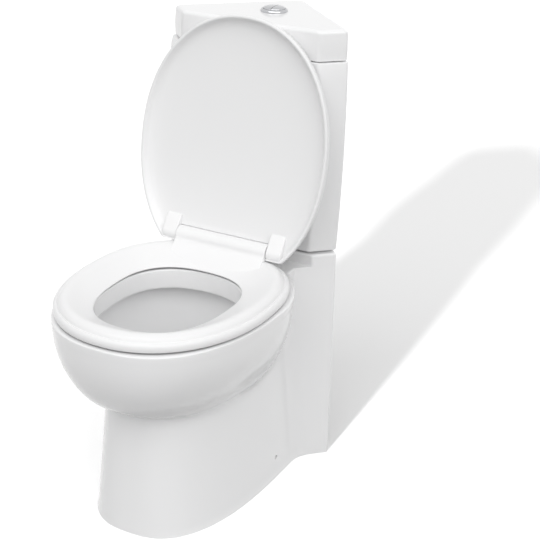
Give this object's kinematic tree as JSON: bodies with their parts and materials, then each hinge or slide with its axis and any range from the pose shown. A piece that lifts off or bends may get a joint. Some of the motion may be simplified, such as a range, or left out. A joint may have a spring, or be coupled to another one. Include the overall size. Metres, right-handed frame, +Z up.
{
  "type": "corner toilet",
  "caption": "Close-coupled corner toilet: cut-corner cistern with dual flush button, round-fronted pan, seat and lid on a rear hinge, flush and fill valves inside.",
  "frame": {"origin": "centre of the object's plan box on the floor", "axes": "+Z up, the user sits facing -Y, +Y towards the room's corner, the object is symmetric about X = 0 apart from the fill valve and the button's split"},
  "size_m": [0.371, 0.6849, 0.8304],
  "materials": {
    "china": "glossy white glaze",
    "seat_plastic": "glossy white moulding",
    "white_plastic": "moulded",
    "grey_plastic": "moulded",
    "blue_plastic": "moulded",
    "chrome": "polished plate",
    "steel": "plain",
    "brass": "turned",
    "rubber": "moulded",
    "foam": "soft closed-cell foam"
  },
  "bodies": {
    "china_set": {"pan": "china", "cistern": "china", "cistern_lid": "china", "coupling_gasket": "foam", "coupling_bolts": "brass", "coupling_rubber_washers": "rubber", "coupling_plate_washers": "steel", "coupling_wing_nuts": "brass", "cistern_pads": "rubber", "button_bezel": "chrome", "button_nut": "white_plastic", "full_button_spring": "steel", "half_button_spring": "steel", "flush_valve_body": "white_plastic", "flush_valve_washer": "rubber", "flush_valve_nut": "white_plastic", "valve_bridge": "white_plastic", "bridge_screws": "steel", "lever_pins": "steel", "fill_valve_body": "white_plastic", "fill_valve_washer": "rubber", "fill_valve_nut": "white_plastic", "inlet_strainer": "blue_plastic", "fill_valve_cap": "grey_plastic", "float_arm_pin": "steel", "hinge_posts": "white_plastic", "hinge_pins": "steel", "hinge_screws": "steel", "hinge_bushes": "rubber"},
    "seat_ring": {"seat": "seat_plastic", "seat_buffers": "rubber", "seat_damper": "grey_plastic", "lid_damper": "grey_plastic"},
    "lid": {"toilet_lid": "seat_plastic"},
    "full_button": {"full_flush_button": "chrome", "full_push_rod": "white_plastic"},
    "half_button": {"half_flush_button": "chrome", "half_push_rod": "white_plastic"},
    "full_lever": {"full_flush_lever": "grey_plastic"},
    "half_lever": {"half_flush_lever": "grey_plastic"},
    "valve_stem": {"overflow_tube": "blue_plastic", "flush_seal": "rubber"},
    "reserve": {"reserve_float": "white_plastic"},
    "float": {"float_cup": "blue_plastic"},
    "arm": {"float_arm": "grey_plastic"}
  },
  "joints": [
    {"name": "seat_hinge", "type": "hinge", "parent": "china_set", "child": "seat_ring", "pos_m": [0, 0.059, 0.4305], "axis": [-1, 0, 0], "range_deg": [0, 98]},
    {"name": "lid_hinge", "type": "hinge", "parent": "china_set", "child": "lid", "pos_m": [0, 0.059, 0.4305], "axis": [-1, 0, 0], "range_deg": [-100, 0]},
    {"name": "full_button_press", "type": "slide", "parent": "china_set", "child": "full_button", "axis": [0, 0, -1], "range_m": [0, 0.006], "stiffness_N_per_m": 400, "springref_m": -0.004, "deforming": ["full_button_spring"]},
    {"name": "half_button_press", "type": "slide", "parent": "china_set", "child": "half_button", "axis": [0, 0, -1], "range_m": [0, 0.006], "stiffness_N_per_m": 400, "springref_m": -0.004, "deforming": ["half_button_spring"]},
    {"name": "full_lever_pivot", "type": "hinge", "parent": "china_set", "child": "full_lever", "pos_m": [-0.014, 0.222, 0.723], "axis": [0, -1, 0], "range_deg": [-1, 30]},
    {"name": "half_lever_pivot", "type": "hinge", "parent": "china_set", "child": "half_lever", "pos_m": [0.014, 0.235, 0.723], "axis": [0, 1, 0], "range_deg": [-1, 30]},
    {"name": "valve_lift", "type": "slide", "parent": "china_set", "child": "valve_stem", "axis": [0, 0, 1], "range_m": [0, 0.0052]},
    {"name": "reserve_lift", "type": "slide", "parent": "china_set", "child": "reserve", "axis": [0, 0, 1], "range_m": [0, 0.0052]},
    {"name": "float_drop", "type": "slide", "parent": "china_set", "child": "float", "axis": [0, 0, -1], "range_m": [0, 0.012]},
    {"name": "float_arm_pivot", "type": "hinge", "parent": "china_set", "child": "arm", "pos_m": [-0.08, 0.1975, 0.68], "axis": [0, -1, 0], "range_deg": [-1, 27]}
  ],
  "couplings": [
    {"joint": "full_lever_pivot", "follows": "full_button_press", "rad_per_m": 83.333},
    {"joint": "half_lever_pivot", "follows": "half_button_press", "rad_per_m": 83.333},
    {"joint": "valve_lift", "follows": "full_button_press", "ratio": 0.85},
    {"joint": "reserve_lift", "follows": "half_button_press", "ratio": 0.85},
    {"joint": "float_arm_pivot", "follows": "float_drop", "rad_per_m": 37.8}
  ]
}
